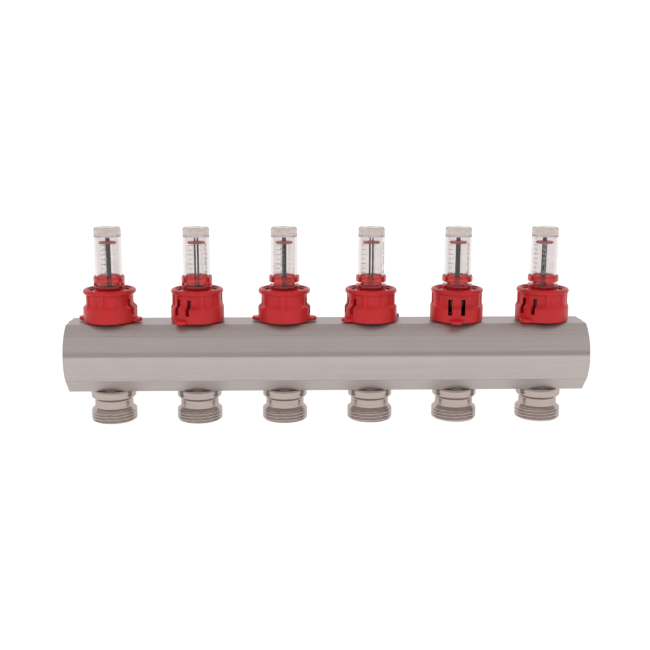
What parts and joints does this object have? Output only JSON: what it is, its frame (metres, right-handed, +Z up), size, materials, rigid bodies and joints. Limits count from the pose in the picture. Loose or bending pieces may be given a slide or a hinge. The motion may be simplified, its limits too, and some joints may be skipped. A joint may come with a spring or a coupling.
{
  "type": "underfloor heating manifold",
  "caption": "Nickel-plated underfloor heating supply manifold bar with flow meters under red locking rings on top and threaded outlet nipples below.",
  "frame": {"origin": "middle of the bar's length, on the plane of the port axes, level with the feet of the outlet nipples", "axes": "+X along the bar to the right, +Y away from the front, +Z up along the flow meters"},
  "size_m": [0.2974, 0.0432, 0.1129],
  "materials": {
    "nickel_bar": "satin nickel plate, drawn along the bar",
    "nickel_nipple": "nickel-plated turned brass",
    "nickel_body": "nickel-plated turned brass",
    "dark_plastic": "satin",
    "clear_plastic": "clear moulded polyamide",
    "red_translucent": "glossy, slightly translucent",
    "red_plastic": "moulded, semi-gloss",
    "red_disc": "moulded",
    "spring_steel": "bright wire",
    "rubber": "black EPDM"
  },
  "bodies": {
    "root": {"bar": "nickel_bar", "nipple_seals": "rubber", "body_seals": "rubber", "glass_seals": "rubber", "outlet_nipple_1": "nickel_nipple", "outlet_nipple_2": "nickel_nipple", "outlet_nipple_3": "nickel_nipple", "outlet_nipple_4": "nickel_nipple", "outlet_nipple_5": "nickel_nipple", "outlet_nipple_6": "nickel_nipple", "meter_body_1": "nickel_body", "meter_body_2": "nickel_body", "meter_body_3": "nickel_body", "meter_body_4": "nickel_body", "meter_body_5": "nickel_body", "meter_body_6": "nickel_body"},
    "ring_1": {"locking_ring_1": "red_plastic"},
    "setting_1": {"sight_glass_1": "clear_plastic", "adjusting_collar_1": "red_translucent", "return_spring_1": "spring_steel"},
    "valve_1": {"valve_stem_1": "dark_plastic"},
    "indicator_1": {"indicator_rod_1": "dark_plastic", "indicator_disc_1": "red_disc"},
    "ring_2": {"locking_ring_2": "red_plastic"},
    "setting_2": {"sight_glass_2": "clear_plastic", "adjusting_collar_2": "red_translucent", "return_spring_2": "spring_steel"},
    "valve_2": {"valve_stem_2": "dark_plastic"},
    "indicator_2": {"indicator_rod_2": "dark_plastic", "indicator_disc_2": "red_disc"},
    "ring_3": {"locking_ring_3": "red_plastic"},
    "setting_3": {"sight_glass_3": "clear_plastic", "adjusting_collar_3": "red_translucent", "return_spring_3": "spring_steel"},
    "valve_3": {"valve_stem_3": "dark_plastic"},
    "indicator_3": {"indicator_rod_3": "dark_plastic", "indicator_disc_3": "red_disc"},
    "ring_4": {"locking_ring_4": "red_plastic"},
    "setting_4": {"sight_glass_4": "clear_plastic", "adjusting_collar_4": "red_translucent", "return_spring_4": "spring_steel"},
    "valve_4": {"valve_stem_4": "dark_plastic"},
    "indicator_4": {"indicator_rod_4": "dark_plastic", "indicator_disc_4": "red_disc"},
    "ring_5": {"locking_ring_5": "red_plastic"},
    "setting_5": {"sight_glass_5": "clear_plastic", "adjusting_collar_5": "red_translucent", "return_spring_5": "spring_steel"},
    "valve_5": {"valve_stem_5": "dark_plastic"},
    "indicator_5": {"indicator_rod_5": "dark_plastic", "indicator_disc_5": "red_disc"},
    "ring_6": {"locking_ring_6": "red_plastic"},
    "setting_6": {"sight_glass_6": "clear_plastic", "adjusting_collar_6": "red_translucent", "return_spring_6": "spring_steel"},
    "valve_6": {"valve_stem_6": "dark_plastic"},
    "indicator_6": {"indicator_rod_6": "dark_plastic", "indicator_disc_6": "red_disc"}
  },
  "joints": [
    {"name": "ring_lift_1", "type": "slide", "parent": "root", "child": "ring_1", "axis": [0, 0, 1], "range_m": [0, 0.056]},
    {"name": "setting_turn_1", "type": "hinge", "parent": "root", "child": "setting_1", "pos_m": [-0.125, 0, 0.0584], "axis": [0, 0, 1], "range_deg": [0, 900]},
    {"name": "valve_screw_1", "type": "slide", "parent": "root", "child": "valve_1", "axis": [0, 0, 1], "range_m": [0, 0.00375]},
    {"name": "indicator_slide_1", "type": "slide", "parent": "root", "child": "indicator_1", "axis": [0, 0, 1], "range_m": [-0.017, 0], "stiffness_N_per_m": 20, "springref_m": 0.01, "deforming": ["return_spring_1"]},
    {"name": "ring_lift_2", "type": "slide", "parent": "root", "child": "ring_2", "axis": [0, 0, 1], "range_m": [0, 0.056]},
    {"name": "setting_turn_2", "type": "hinge", "parent": "root", "child": "setting_2", "pos_m": [-0.075, 0, 0.0584], "axis": [0, 0, 1], "range_deg": [0, 900]},
    {"name": "valve_screw_2", "type": "slide", "parent": "root", "child": "valve_2", "axis": [0, 0, 1], "range_m": [0, 0.00375]},
    {"name": "indicator_slide_2", "type": "slide", "parent": "root", "child": "indicator_2", "axis": [0, 0, 1], "range_m": [-0.017, 0], "stiffness_N_per_m": 20, "springref_m": 0.01, "deforming": ["return_spring_2"]},
    {"name": "ring_lift_3", "type": "slide", "parent": "root", "child": "ring_3", "axis": [0, 0, 1], "range_m": [0, 0.056]},
    {"name": "setting_turn_3", "type": "hinge", "parent": "root", "child": "setting_3", "pos_m": [-0.025, 0, 0.0584], "axis": [0, 0, 1], "range_deg": [0, 900]},
    {"name": "valve_screw_3", "type": "slide", "parent": "root", "child": "valve_3", "axis": [0, 0, 1], "range_m": [0, 0.00375]},
    {"name": "indicator_slide_3", "type": "slide", "parent": "root", "child": "indicator_3", "axis": [0, 0, 1], "range_m": [-0.017, 0], "stiffness_N_per_m": 20, "springref_m": 0.01, "deforming": ["return_spring_3"]},
    {"name": "ring_lift_4", "type": "slide", "parent": "root", "child": "ring_4", "axis": [0, 0, 1], "range_m": [0, 0.056]},
    {"name": "setting_turn_4", "type": "hinge", "parent": "root", "child": "setting_4", "pos_m": [0.025, 0, 0.0584], "axis": [0, 0, 1], "range_deg": [0, 900]},
    {"name": "valve_screw_4", "type": "slide", "parent": "root", "child": "valve_4", "axis": [0, 0, 1], "range_m": [0, 0.00375]},
    {"name": "indicator_slide_4", "type": "slide", "parent": "root", "child": "indicator_4", "axis": [0, 0, 1], "range_m": [-0.017, 0], "stiffness_N_per_m": 20, "springref_m": 0.01, "deforming": ["return_spring_4"]},
    {"name": "ring_lift_5", "type": "slide", "parent": "root", "child": "ring_5", "axis": [0, 0, 1], "range_m": [0, 0.056]},
    {"name": "setting_turn_5", "type": "hinge", "parent": "root", "child": "setting_5", "pos_m": [0.075, 0, 0.0584], "axis": [0, 0, 1], "range_deg": [0, 900]},
    {"name": "valve_screw_5", "type": "slide", "parent": "root", "child": "valve_5", "axis": [0, 0, 1], "range_m": [0, 0.00375]},
    {"name": "indicator_slide_5", "type": "slide", "parent": "root", "child": "indicator_5", "axis": [0, 0, 1], "range_m": [-0.017, 0], "stiffness_N_per_m": 20, "springref_m": 0.01, "deforming": ["return_spring_5"]},
    {"name": "ring_lift_6", "type": "slide", "parent": "root", "child": "ring_6", "axis": [0, 0, 1], "range_m": [0, 0.056]},
    {"name": "setting_turn_6", "type": "hinge", "parent": "root", "child": "setting_6", "pos_m": [0.125, 0, 0.0584], "axis": [0, 0, 1], "range_deg": [0, 900]},
    {"name": "valve_screw_6", "type": "slide", "parent": "root", "child": "valve_6", "axis": [0, 0, 1], "range_m": [0, 0.00375]},
    {"name": "indicator_slide_6", "type": "slide", "parent": "root", "child": "indicator_6", "axis": [0, 0, 1], "range_m": [-0.017, 0], "stiffness_N_per_m": 20, "springref_m": 0.01, "deforming": ["return_spring_6"]}
  ],
  "couplings": [
    {"joint": "valve_screw_1", "follows": "setting_turn_1", "m_per_rad": 0.00023873},
    {"joint": "valve_screw_2", "follows": "setting_turn_2", "m_per_rad": 0.00023873},
    {"joint": "valve_screw_3", "follows": "setting_turn_3", "m_per_rad": 0.00023873},
    {"joint": "valve_screw_4", "follows": "setting_turn_4", "m_per_rad": 0.00023873},
    {"joint": "valve_screw_5", "follows": "setting_turn_5", "m_per_rad": 0.00023873},
    {"joint": "valve_screw_6", "follows": "setting_turn_6", "m_per_rad": 0.00023873}
  ]
}
